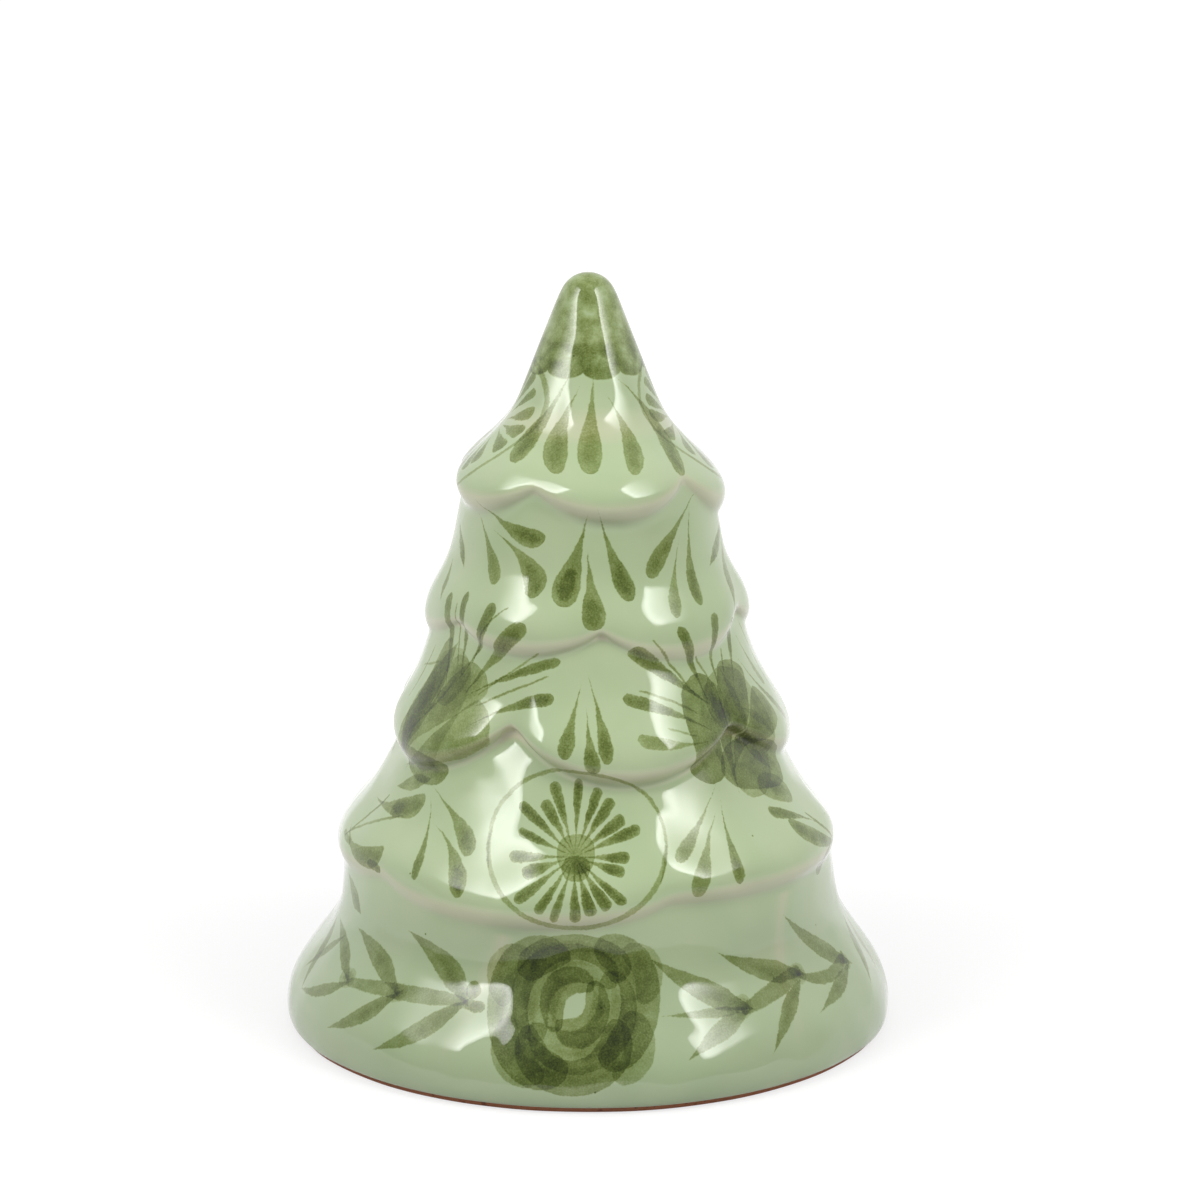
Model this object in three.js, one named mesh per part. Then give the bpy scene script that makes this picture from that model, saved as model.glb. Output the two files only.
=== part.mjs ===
// A hollow earthenware Christmas tree with a glassy glaze, standing on its own open foot.
//
// It has two physical pieces: the fired clay body and the glaze coat fused over its outside.
// The outside is one surface: five stacked tiers, each a flaring sheet of clay that ends in a
// rounded lip. The lip is cut into five scallops, called lobes here, by notches pushed up into it.
// The notches of one tier sit over the lobes of the next, as branches do on a real tree.
//
// Units are millimetres and degrees. +Z is up and the foot stands on z = 0. An azimuth of 0 looks
// towards -Y, the painted front, and grows towards +X.

import * as THREE from 'three';
import { mergeVertices } from 'three/addons/utils/BufferGeometryUtils.js';

// Whole tree
const TREE_HEIGHT = 200;
const TIP_RADIUS = 7.75;

// Glaze and clay
const GLAZE_THICKNESS = 0.6;
const GLAZE_CLEARANCE = 0.3;
const GLAZE_END_HEIGHT = 1.6;
const CLAY_WALL = 5.5;
const SOLID_TIP_LENGTH = 14;
const HOLLOW_TOP_RADIUS = 1;

// Foot and skirt. The foot stands in from the skirt's widest line by the inset.
const SKIRT_RADIUS = 81;
const SKIRT_FLARE_TOP = 36;
const SKIRT_FLARE_BOTTOM = 6;
const FOOT_INSET = 1.4;
const FOOT_RADIUS = SKIRT_RADIUS - FOOT_INSET;
const FOOT_RING_WIDTH = 7.5;
const FOOT_ROUNDING = 5;

// A sheet aims a little past its lip and bends down into it over the rounding. Where a notch cuts
// up into a sheet, the sheet below is pressed in with it, to the undercut behind the lip.
const LIP_OVERSHOOT = 1;
const LIP_ROUNDING = 3;
const FLARE_POWER = 3;
const NOTCH_UNDERCUT = 0.4;
const NOTCH_ROLL_SHARE = 0.4;

// Each tier's sheet starts at its waist radius under the lip above, leaves it at the draft, in
// millimetres outwards for each millimetre down, and flares to its lip radius. Below the lip it
// rolls under over the roll height and ends in the crease. Each notch has its azimuth and its
// rise above the crease, and each lobe hangs lower, or higher, by its own amount, because the
// lips are pressed by hand. Arch is the shape of the scallop: 1 is round, less is squarer.
const CROWN = {
  creaseHeight: 141.5, rollHeight: 4, lipRadius: 36, draft: 0.4, grooveDepth: 1.8, arch: 0.8,
  notchAzimuths: [-25, 50, 121, 193, 266], notchRises: [8, 9, 8, 8, 8], lobeHangs: [0, 3, 0, 0, 0],
};
const SECOND = {
  waistRadius: 33.3, creaseHeight: 108, rollHeight: 4, lipRadius: 42.5, draft: 0.24,
  grooveDepth: 1.6, arch: 0.7,
  notchAzimuths: [5, 72, 148, 228, 305], notchRises: [7, 7, 6, 6, 6], lobeHangs: [2, 0, 0, 0, 0],
};
const THIRD = {
  waistRadius: 41.2, creaseHeight: 76.3, rollHeight: 4.2, lipRadius: 53.8, draft: 0.28,
  grooveDepth: 2.2, arch: 0.8,
  notchAzimuths: [-25, 50, 121, 193, 266], notchRises: [15, 12, 13, 13, 13],
  lobeHangs: [-1, 1.5, 0, 0, 0],
};
const FOURTH = {
  waistRadius: 50.8, creaseHeight: 47.5, rollHeight: 4.2, lipRadius: 66.3, draft: 0.42,
  grooveDepth: 1.6, arch: 0.35,
  notchAzimuths: [17, 87, 155, 229, 306], notchRises: [3, 2, 4, 4, 4],
  lobeHangs: [-0.8, 1, 0, -3, 4],
};
const SKIRT = {
  waistRadius: 64.2, creaseHeight: 0, rollHeight: FOOT_ROUNDING, lipRadius: SKIRT_RADIUS, draft: 0.12,
  grooveDepth: 1.1, arch: 1,
  notchAzimuths: [-27, 51, 122, 193, 264], notchRises: [0, 0, 0, 0, 0], lobeHangs: [0, 0, 0, 0, 0],
};
const TIERS = [CROWN, SECOND, THIRD, FOURTH, SKIRT];
const LOBES = CROWN.notchAzimuths.length;

// How finely the surface is cut into flat faces
const COLUMNS_PER_LOBE = 12;
const DOME_ROWS = 3;
const SHEET_ROWS = [6, 4, 4, 4, 6];
const ROLL_ROWS = 2;
const ROLL_SWEEP = 65;
const ROW_CROWDING = 1.6;
const VALLEY_POWER = 0.5;
const RIM_START_AZIMUTH = -30;
const SKIRT_HOLLOW_STEPS = 3;
const CROWN_HOLLOW_SHARES = [0.3, 0.65, 0.9];

const COLUMNS = LOBES * COLUMNS_PER_LOBE;
const COAT_DEPTH = GLAZE_THICKNESS + GLAZE_CLEARANCE;
const radians = THREE.MathUtils.degToRad;
const mix = THREE.MathUtils.lerp;
const clampShare = (share) => THREE.MathUtils.clamp(share, 0, 1);
const ease = (share) => (1 - Math.cos(Math.PI * clampShare(share))) / 2;

// The smaller of two values, with a soft bend over the width where they meet
function softMin(a, b, width) {
  const part = clampShare(0.5 + (b - a) / (2 * width));
  return mix(b, a, part) - width * part * (1 - part);
}

// Azimuth of a column where the rim is a plain circle: even steps, one of them on each axis
const evenAzimuth = (column) => RIM_START_AZIMUTH + (column * 360) / COLUMNS;

// Where a column crosses a tier: its azimuth, its lobe and how full the lobe is there, from 0 at
// a notch to 1 in the middle. Every second tier is half a lobe further round.
function crossing(tierIndex, column) {
  const tier = TIERS[tierIndex];
  const shift = (tierIndex % 2) * (COLUMNS_PER_LOBE / 2);
  const turns = (column - shift) / COLUMNS_PER_LOBE;
  const start = Math.floor(turns);
  const share = turns - start;
  const lobe = (start + LOBES) % LOBES;
  const next = (lobe + 1) % LOBES;
  const startAzimuth = tier.notchAzimuths[lobe] + (start < 0 ? -360 : 0);
  const endAzimuth = tier.notchAzimuths[next] + (next === 0 ? 360 : 0) + (start < 0 ? -360 : 0);
  const fullness = Math.sin(Math.PI * share);
  const scallop = fullness ** tier.arch;
  const rise = mix(tier.notchRises[lobe], tier.notchRises[next], share) * (1 - scallop);
  const hang = tier.lobeHangs[lobe] * scallop;
  const crease = tier.creaseHeight + rise - hang;
  const roll = tier === SKIRT ? FOOT_ROUNDING : tier.rollHeight * mix(NOTCH_ROLL_SHARE, 1, scallop);
  return {
    azimuth: mix(startAzimuth, endAzimuth, share), crease, hang, lip: crease + roll,
    groove: tier.grooveDepth * (1 - fullness ** VALLEY_POWER),
  };
}

// The dome at the tip meets the crown's sheet where its side has the crown's draft
const TANGENT_ANGLE = Math.atan(CROWN.draft);
const DOME_CENTRE = TREE_HEIGHT - TIP_RADIUS;
const CROWN_START_RADIUS = TIP_RADIUS * Math.cos(TANGENT_ANGLE);
const CROWN_START_HEIGHT = DOME_CENTRE + TIP_RADIUS * Math.sin(TANGENT_ANGLE);

// Height and radius at which a tier's sheet starts in the middle of a lobe
function sheetStart(tierIndex) {
  if (tierIndex === 0) return { height: CROWN_START_HEIGHT, radius: CROWN_START_RADIUS };
  return { height: TIERS[tierIndex - 1].creaseHeight, radius: TIERS[tierIndex].waistRadius };
}

// Radius of a tier's sheet at a height, in the middle of a lobe. The draft goes on above the
// waist, where the notches of the tier above uncover the sheet.
function sheetRadius(tierIndex, height) {
  const tier = TIERS[tierIndex];
  const start = sheetStart(tierIndex);
  const drop = start.height - height;
  const straight = start.radius + tier.draft * drop;
  if (tier === SKIRT) {
    const flareTop = start.radius + tier.draft * (start.height - SKIRT_FLARE_TOP);
    const share = (SKIRT_FLARE_TOP - height) / (SKIRT_FLARE_TOP - SKIRT_FLARE_BOTTOM);
    const wall = Math.min(straight, flareTop);
    return wall + (tier.lipRadius - flareTop) * ease(share);
  }
  const fullDrop = start.height - tier.creaseHeight - tier.rollHeight;
  const flare = tier.lipRadius + LIP_OVERSHOOT - start.radius - tier.draft * fullDrop;
  const flared = straight + flare * Math.max(drop / fullDrop, 0) ** FLARE_POWER;
  return softMin(flared, tier.lipRadius, LIP_ROUNDING);
}

// Angles swept by the rows that roll a lip under. The foot's first row lies where the glaze ends.
function rollAngles(isSkirt) {
  const sweep = radians(ROLL_SWEEP);
  if (isSkirt) {
    const glazedShare = clampShare(1 - GLAZE_END_HEIGHT / FOOT_ROUNDING);
    return [Math.asin(glazedShare * Math.sin(sweep)), sweep];
  }
  return Array.from({ length: ROLL_ROWS }, (_, row) => (sweep * (row + 1)) / ROLL_ROWS);
}

// One column of the outside, from the tip to the floor, as points of azimuth, radius and height,
// each with the direction straight into the clay
function outsideColumn(column) {
  const points = [];
  for (let row = 1; row <= DOME_ROWS; row += 1) {
    const angle = mix(Math.PI / 2, TANGENT_ANGLE, row / DOME_ROWS);
    points.push({
      azimuth: crossing(0, column).azimuth,
      radius: TIP_RADIUS * Math.cos(angle), height: DOME_CENTRE + TIP_RADIUS * Math.sin(angle),
      inward: Math.cos(angle), downward: Math.sin(angle),
    });
  }
  let above = { azimuth: crossing(0, column).azimuth, crease: CROWN_START_HEIGHT, dent: 0 };
  TIERS.forEach((tier, tierIndex) => {
    const here = crossing(tierIndex, column);
    const isSkirt = tier === SKIRT;
    const endAzimuth = isSkirt ? evenAzimuth(column) : here.azimuth;
    const rows = SHEET_ROWS[tierIndex];
    for (let row = 1; row <= rows; row += 1) {
      const share = 1 - (1 - row / rows) ** ROW_CROWDING;
      const height = mix(above.crease, here.lip, share);
      const groovePart = isSkirt ? Math.sin(Math.PI * share) : share;
      points.push({
        azimuth: mix(above.azimuth, endAzimuth, share),
        radius: sheetRadius(tierIndex, height + here.hang * share) - here.groove * groovePart
          - above.dent * (1 - share) ** 2,
        height, inward: 1, downward: 0,
      });
    }
    const lip = points.at(-1);
    const sheetBelow = isSkirt ? FOOT_RADIUS : sheetRadius(tierIndex + 1, here.crease);
    const creaseRadius = isSkirt ? FOOT_RADIUS : Math.min(sheetBelow, lip.radius - NOTCH_UNDERCUT);
    rollAngles(isSkirt).forEach((angle) => {
      const tuck = (1 - Math.cos(angle)) / (1 - Math.cos(radians(ROLL_SWEEP)));
      const fall = Math.sin(angle) / Math.sin(radians(ROLL_SWEEP));
      points.push({
        azimuth: endAzimuth, radius: mix(lip.radius, creaseRadius, tuck),
        height: mix(lip.height, here.crease, fall), inward: 1, downward: 0,
      });
    });
    above = { azimuth: here.azimuth, crease: here.crease, dent: sheetBelow - creaseRadius };
  });
  return points;
}

const OUTSIDE = Array.from({ length: COLUMNS }, (_, column) => outsideColumn(column));
const ROWS = OUTSIDE[0].length;

const place = (azimuth, radius, height) => new THREE.Vector3(
  radius * Math.sin(radians(azimuth)), -radius * Math.cos(radians(azimuth)), height,
);

// One ring of the outside, moved into the clay by a depth
function ring(row, depth) {
  return OUTSIDE.map((points) => {
    const { azimuth, radius, height, inward, downward } = points[row];
    return place(azimuth, radius - depth * inward, height - depth * downward);
  });
}

const evenRing = (radius, height) => Array.from({ length: COLUMNS }, (_, column) => (
  place(evenAzimuth(column), radius, height)
));

// A closed body from a pole, a run of rings and, at the end, the pole inside. The rings run from
// the outer pole over the outside, round the foot and back up the inside. Each square between two
// rings is cut along the same diagonal inside and outside, so that nested pieces stay apart.
function bodyOfRings(outerPole, rings, innerPole, outerRings) {
  const positions = [outerPole, innerPole, ...rings.flat()];
  const at = (ringIndex, column) => 2 + ringIndex * COLUMNS + (column % COLUMNS);
  const index = [];
  const last = rings.length - 1;
  for (let column = 0; column < COLUMNS; column += 1) {
    index.push(0, at(0, column), at(0, column + 1));
    index.push(1, at(last, column + 1), at(last, column));
    for (let step = 0; step < last; step += 1) {
      const upperLeft = at(step, column);
      const upperRight = at(step, column + 1);
      const lowerLeft = at(step + 1, column);
      const lowerRight = at(step + 1, column + 1);
      if (step < outerRings) {
        index.push(upperLeft, lowerLeft, lowerRight, upperLeft, lowerRight, upperRight);
      } else {
        index.push(upperLeft, lowerLeft, upperRight, upperRight, lowerLeft, lowerRight);
      }
    }
  }
  const geometry = new THREE.BufferGeometry();
  const numbers = positions.flatMap((position) => position.toArray());
  geometry.setAttribute('position', new THREE.Float32BufferAttribute(numbers, 3));
  geometry.setIndex(index);
  const closed = mergeVertices(geometry);
  closed.computeVertexNormals();
  return closed;
}

// The glaze coat covers the outside down to the foot's first rolled row, above the floor, so that
// a line of bare clay shows under it
function glazeCoat() {
  const covered = Array.from({ length: ROWS - 1 }, (_, row) => row);
  const outer = covered.map((row) => ring(row, 0));
  const inner = covered.map((row) => ring(row, GLAZE_THICKNESS)).reverse();
  const innerPole = place(0, 0, TREE_HEIGHT - GLAZE_THICKNESS);
  return bodyOfRings(place(0, 0, TREE_HEIGHT), [...outer, ...inner], innerPole, outer.length);
}

// Points of the hollow inside, from the floor up: the foot ring, the skirt at an even wall, a
// plain cone from waist to waist, and a narrowing top under the solid tip
function hollowProfile() {
  const skirtIndex = TIERS.length - 1;
  const skirtTop = TIERS[skirtIndex - 1].creaseHeight;
  const profile = [{ height: 0, radius: FOOT_RADIUS - COAT_DEPTH - FOOT_RING_WIDTH }];
  for (let step = 0; step <= SKIRT_HOLLOW_STEPS; step += 1) {
    const height = mix(SKIRT_FLARE_BOTTOM, SKIRT_FLARE_TOP, step / SKIRT_HOLLOW_STEPS);
    if (height < skirtTop) {
      profile.push({ height, radius: sheetRadius(skirtIndex, height) - COAT_DEPTH - CLAY_WALL });
    }
  }
  for (let tierIndex = skirtIndex; tierIndex > 0; tierIndex -= 1) {
    const start = sheetStart(tierIndex);
    profile.push({ height: start.height, radius: start.radius - COAT_DEPTH - CLAY_WALL });
  }
  const top = TREE_HEIGHT - SOLID_TIP_LENGTH;
  CROWN_HOLLOW_SHARES.forEach((share) => {
    const height = mix(CROWN.creaseHeight, top, share);
    const outer = CROWN_START_RADIUS + CROWN.draft * (CROWN_START_HEIGHT - height);
    const radius = Math.max(outer - COAT_DEPTH - CLAY_WALL, HOLLOW_TOP_RADIUS);
    profile.push({ height, radius });
  });
  return { profile, top };
}

// The clay body: the outside below the glaze, the flat foot ring and the hollow inside
function clayBody() {
  const outer = OUTSIDE[0].map((_, row) => ring(row, COAT_DEPTH));
  const { profile, top } = hollowProfile();
  const inner = profile.map(({ height, radius }) => evenRing(radius, height));
  const outerPole = place(0, 0, TREE_HEIGHT - COAT_DEPTH);
  return bodyOfRings(outerPole, [...outer, ...inner], place(0, 0, top), outer.length);
}

function piece(name, geometry, material) {
  const mesh = new THREE.Mesh(geometry, new THREE.MeshStandardMaterial(material));
  mesh.name = name;
  return mesh;
}

const tree = new THREE.Group();
tree.add(piece('clay_body', clayBody(), { color: 0xa85f3f, roughness: 0.85, metalness: 0 }));
tree.add(piece('glaze_coat', glazeCoat(), { color: 0xb4c39b, roughness: 0.08, metalness: 0 }));

export default tree;
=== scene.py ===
# %% [markdown]
# # A glazed earthenware Christmas tree
#
# The real object is a hollow figure of fired red clay, about 20 cm tall. Its outside is covered by
# a pale green, glassy glaze, and a painter has brushed flowers, leaves and rows of drops under
# that glaze in a darker olive green. Only the rim of the foot and the inside are bare clay.
#
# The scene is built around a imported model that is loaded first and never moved. Two finer pieces
# then take the place of its two solids: the clay body and the glaze coat.

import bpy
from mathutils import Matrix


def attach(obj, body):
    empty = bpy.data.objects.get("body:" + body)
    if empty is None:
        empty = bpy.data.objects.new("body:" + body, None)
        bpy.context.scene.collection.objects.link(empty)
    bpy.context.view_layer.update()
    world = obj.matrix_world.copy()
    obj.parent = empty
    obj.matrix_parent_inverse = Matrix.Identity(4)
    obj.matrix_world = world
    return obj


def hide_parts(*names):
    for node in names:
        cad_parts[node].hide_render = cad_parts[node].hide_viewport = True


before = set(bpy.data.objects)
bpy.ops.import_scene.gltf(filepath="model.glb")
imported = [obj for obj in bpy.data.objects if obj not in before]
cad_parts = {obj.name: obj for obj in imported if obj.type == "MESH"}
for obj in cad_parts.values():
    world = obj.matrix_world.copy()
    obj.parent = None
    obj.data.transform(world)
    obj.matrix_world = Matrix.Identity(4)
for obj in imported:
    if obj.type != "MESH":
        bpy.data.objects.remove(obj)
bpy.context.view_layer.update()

# %% Tools used below
import math

import bmesh
import bpy
from mathutils import Vector

MM = 0.001
DEGREE = math.pi / 180

# %% [markdown]
# ## Writing node trees as sums
#
# Both the shape and the paint of this tree follow formulas. A node tree can hold a formula, but it
# takes one Math node for each plus and times, and a long list of such nodes is hard to read. So a
# small class stands for one value that flows through a tree. Adding or multiplying two of these
# values puts in the Math node and hands back its output, and the formula reads as it would in a
# textbook. The same class works in geometry trees and in material trees.

# %% A value that flows through a node tree
class Flow:
    """The output of a node, which can be used in sums like a number"""

    def __init__(self, nodes, socket):
        self.nodes = nodes
        self.socket = socket

    def math(self, operation, *others):
        node = self.nodes.new("ShaderNodeMath")
        node.operation = operation
        for place, item in enumerate((self, *others)):
            feed(node.inputs[place], item)
        return Flow(self.nodes, node.outputs[0])

    def __add__(self, other):
        return self.math("ADD", other)

    def __sub__(self, other):
        return self.math("SUBTRACT", other)

    def __rsub__(self, other):
        return self.math("MULTIPLY_ADD", -1.0, other)

    def __mul__(self, other):
        return self.math("MULTIPLY", other)

    def __truediv__(self, other):
        return self.math("DIVIDE", other)

    def __pow__(self, other):
        return self.math("POWER", other)

    __radd__ = __add__
    __rmul__ = __mul__

    def share(self):
        """The value, held between 0 and 1"""
        return Flow(self.nodes, add_node(self.nodes, "ShaderNodeClamp", {"Value": self}).outputs[0])

    def eased(self):
        """From 0 to 1 as before, but with a soft start and a soft end"""
        return (1.0 - (self * math.pi).math("COSINE")) * 0.5

    def towards(self, other, part):
        """Part of the way from this value to another"""
        return self + (other - self) * part


def feed(socket, item):
    """Joins a value to an input, or writes a plain number into it"""
    if isinstance(item, Flow):
        item = item.socket
    if isinstance(item, bpy.types.NodeSocket):
        socket.id_data.links.new(item, socket)
    else:
        socket.default_value = item


def feed_all(node, inputs):
    for name, item in inputs.items():
        feed(node.inputs[name], item)


def add_node(nodes, kind, inputs=None, **settings):
    """A node of a kind, with its settings and what feeds its inputs"""
    node = nodes.new(kind)
    for name, value in settings.items():
        setattr(node, name, value)
    feed_all(node, inputs or {})
    return node


def vector_math(nodes, operation, first, second, output="Vector"):
    node = add_node(nodes, "ShaderNodeVectorMath", operation=operation)
    feed(node.inputs[0], first)
    feed(node.inputs[1], second)
    return Flow(nodes, node.outputs[output])


# %% [markdown]
# ## The plan of the tiers
#
# The figure has five tiers. Each is a sheet of clay that flares out and ends in a rounded lip, and
# the lip is cut into five scallops by notches pressed up into it by hand. So the only irregular
# things are the notches: each has its own place round the tree and its own height. The plan is a
# mesh of loose points, one for each notch, and the sizes of its tier are written on each point. A
# node tree reads the points and does the rest, so one notch can be moved without touching the rule.
#
# An azimuth of 0 looks at the painted front, towards -Y, and grows towards +X.

# %% Sizes of the whole tree, in millimetres
TREE_HEIGHT = 200.0
TIP_RADIUS = 7.75
FOOT_RADIUS = 79.6
FOOT_RING_WIDTH = 7.5
SKIRT_FLARE = (37.0, 6.5)
GLAZE_THICKNESS = 0.6
GLAZE_GAP = 0.3
GLAZE_END_HEIGHT = 1.6
CLAY_WALL = 5.5
SOLID_TIP = 14.0
LOBES = 5

# %% Sizes of each tier, from the crown down to the skirt
TIERS = [
    dict(waist=0.0, crease=140.7, roll=6.3, lip=36.8, draft=0.42, groove=1.8, arch=0.8, bend=0.54,
         azimuths=(-25, 50, 121, 193, 266), rises=(8, 9, 8, 8, 8), hangs=(0, 3, 0, 0, 0)),
    dict(waist=33.6, crease=107.4, roll=5.0, lip=43.7, draft=0.2, groove=1.6, arch=0.7, bend=0.28,
         azimuths=(5, 72, 148, 228, 305), rises=(7, 7, 6, 6, 6), hangs=(2, 2, 0, 1.5, 0)),
    dict(waist=41.4, crease=75.7, roll=5.2, lip=54.3, draft=0.37, groove=2.2, arch=0.8, bend=0.1,
         azimuths=(-25, 50, 121, 193, 266), rises=(15, 12, 13, 13, 13), hangs=(-1, 1.5, 0, 0, 0)),
    dict(waist=51.2, crease=46.9, roll=5.4, lip=67.4, draft=0.55, groove=1.6, arch=0.35, bend=0.1,
         azimuths=(17, 87, 155, 229, 306), rises=(3, 2, 4, 4, 4), hangs=(-0.8, 4, 0, 2, 4)),
    dict(waist=64.9, crease=0.0, roll=5.0, lip=81.0, draft=0.12, groove=1.1, arch=1.0, bend=0.0,
         azimuths=(-27, 51, 122, 193, 264), rises=(0, 0, 0, 0, 0), hangs=(0, 0, 0, 0, 0)),
]
LAST = len(TIERS) - 1
TANGENT = math.atan(TIERS[0]["draft"])
DOME_CENTRE = TREE_HEIGHT - TIP_RADIUS
CROWN_START_RADIUS = TIP_RADIUS * math.cos(TANGENT)
CROWN_START_HEIGHT = DOME_CENTRE + TIP_RADIUS * math.sin(TANGENT)


# %% One loose point for each notch
def place(azimuth, radius, height):
    """A point in metres from an azimuth in degrees and a radius and height in millimetres"""
    turn = azimuth * DEGREE
    return Vector((radius * math.sin(turn), -radius * math.cos(turn), height)) * MM


def new_object(name, data):
    piece = bpy.data.objects.new(name, data)
    bpy.context.scene.collection.objects.link(piece)
    return piece


def tier_plan(name):
    """The plan as an object: its points sit at the notches and carry the sizes of their tier"""
    rows = []
    lists = ("azimuths", "rises", "hangs")
    for number, tier in enumerate(TIERS):
        crown = number == 0
        shared = {key: size for key, size in tier.items() if key not in lists}
        shared["start"] = CROWN_START_HEIGHT if crown else TIERS[number - 1]["crease"]
        shared["waist"] = CROWN_START_RADIUS if crown else tier["waist"]
        for azimuth, rise, hang in zip(*(tier[key] for key in lists)):
            rows.append(dict(shared, azimuth=azimuth, rise=rise, hang=hang))
    mesh = bpy.data.meshes.new(name)
    mesh.from_pydata([place(row["azimuth"], row["lip"], row["crease"]) for row in rows], [], [])
    for key in rows[0]:
        layer = mesh.attributes.new(key, "FLOAT", "POINT")
        layer.data.foreach_set("value", [row[key] for row in rows])
    return new_object(name, mesh)


# %% [markdown]
# ## The rule of the surface
#
# A potter would throw or carve such a form and press the notches in afterwards. Here a Geometry
# Nodes tree bends a flat grid round the axis: one side of the grid becomes the way round the tree,
# the other the way down. For each point the tree looks up the two notches that it lies between,
# works out how full the lobe is there, and from that the height of the lip and of the crease.
#
# Geometry Nodes were chosen over modelling by hand because every lobe of every tier obeys the same
# rule, and because the clay under the glaze needs the same surface a second time, a little deeper.

# %% How much the sheets bend, in millimetres, radians, shares and powers
LIP_OVERSHOOT = 1.0
LIP_ROUNDING = 3.0
FLARE_POWER = 1.6
NOTCH_UNDERCUT = 0.4
NOTCH_ROLL_SHARE = 0.4
VALLEY_FADE = 2.0
ROLL_SWEEP = 65 * DEGREE
# How narrow the painted highlight line down each valley of the skirt is
VALLEY_HIGHLIGHT_POWER = 120.0
# The band under each lip that is painted paler: thinner glaze with a painted reflection of the
# table
LIP_BAND_START = 5.0
LIP_BAND_END = 2.5
WELD = 0.002
RIM_START_AZIMUTH = -30.0


# %% Looking up a tier and its notches
class Plan:
    """Reads the sizes written on the notch points, inside a geometry tree"""

    def __init__(self, nodes, points):
        self.nodes = nodes
        self.points = points

    def read(self, key, tier, lobe=0.0):
        index = tier * LOBES + lobe
        named = add_node(self.nodes, "GeometryNodeInputNamedAttribute", {"Name": key},
                         data_type="FLOAT").outputs["Attribute"]
        sample = add_node(self.nodes, "GeometryNodeSampleIndex", {
            "Geometry": self.points, "Value": named, "Index": index,
        }, data_type="FLOAT", domain="POINT", clamp=True)
        return Flow(self.nodes, sample.outputs["Value"])

    def on_skirt(self, tier):
        return tier.math("GREATER_THAN", LAST - 0.5)

    def crossing(self, tier, turn):
        """Where a line down the tree crosses a tier: azimuth, crease and lip heights, and groove"""
        shifted = turn * LOBES - tier.math("FLOORED_MODULO", 2.0) * 0.5
        start = shifted.math("FLOOR")
        part = shifted - start
        ends = []
        for notch in (start, start + 1.0):
            lobe = notch.math("FLOORED_MODULO", LOBES)
            laps = ((notch + 0.5) / LOBES).math("FLOOR") * 360.0
            ends.append((self.read("azimuth", tier, lobe) + laps, self.read("rise", tier, lobe)))
        fullness = (part * math.pi).math("SINE").math("MAXIMUM", 0.0)
        scallop = fullness ** self.read("arch", tier)
        hang = self.read("hang", tier, start.math("FLOORED_MODULO", LOBES)) * scallop
        rise = ends[0][1].towards(ends[1][1], part) * (1.0 - scallop)
        crease = self.read("crease", tier) + rise - hang
        curl = scallop * (1.0 - NOTCH_ROLL_SHARE) + NOTCH_ROLL_SHARE
        roll = self.read("roll", tier) * curl.math("MAXIMUM", self.on_skirt(tier))
        valley = 1.0 - fullness ** 2.0
        groove = self.read("groove", tier) * (valley + valley ** 4.0) * 0.5
        return dict(azimuth=ends[0][0].towards(ends[1][0], part), crease=crease, hang=hang,
                    lip=crease + roll, groove=groove, valley=valley)

    def sheet_radius(self, tier, height):
        """Radius of a tier's sheet at a height, in the middle of a lobe"""
        start, waist, draft, lip, bend = (
            self.read(key, tier) for key in ("start", "waist", "draft", "lip", "bend"))
        drop = start - height
        straight = waist + draft * drop
        full_drop = start - self.read("crease", tier) - self.read("roll", tier)
        flare = lip + LIP_OVERSHOOT - waist - draft * full_drop
        swing = ((drop / full_drop - bend) / (1.0 - bend)).share()
        flared = straight + flare * swing.eased() ** FLARE_POWER
        part = ((lip - flared) / (2 * LIP_ROUNDING) + 0.5).share()
        sheet = lip.towards(flared, part) - part * (1.0 - part) * LIP_ROUNDING
        flare_top, flare_bottom = SKIRT_FLARE
        wall = waist + draft * (start - flare_top)
        share = ((flare_top - height) / (flare_top - flare_bottom)).share()
        skirt = straight.math("MINIMUM", wall) + (lip - wall) * share.eased()
        return sheet.towards(skirt, self.on_skirt(tier))

    def edge(self, tier, here):
        """Radii of the lip and of the crease under it, and how far the sheet below is dented"""
        on_skirt = self.on_skirt(tier)
        lip = self.sheet_radius(tier, here["lip"] + here["hang"])
        lip = lip - here["groove"] * (1.0 - on_skirt)
        below = self.sheet_radius(tier + 1.0, here["crease"])
        dent = (below - lip + NOTCH_UNDERCUT).math("MAXIMUM", 0.0) * (1.0 - on_skirt)
        return dict(lip=lip, crease=(below - dent).towards(FOOT_RADIUS, on_skirt), dent=dent)


# %% The tree of nodes that bends a grid into the tiers
INPUTS = {
    "Columns": ("NodeSocketInt", 120), "Dome rows": ("NodeSocketInt", 6),
    "Sheet rows": ("NodeSocketInt", 16), "Roll rows": ("NodeSocketInt", 6),
    "Coat": ("NodeSocketInt", 0), "Depth": ("NodeSocketFloat", 0.0),
    "Coat thickness": ("NodeSocketFloat", 0.0), "End height": ("NodeSocketFloat", 0.0),
    "Softening steps": ("NodeSocketInt", 2), "Pool reach": ("NodeSocketInt", 12),
    "Wobble": ("NodeSocketFloat", 0.0), "Wobble size": ("NodeSocketFloat", 24.0),
    "Surface": ("NodeSocketMaterial", None),
}


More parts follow.
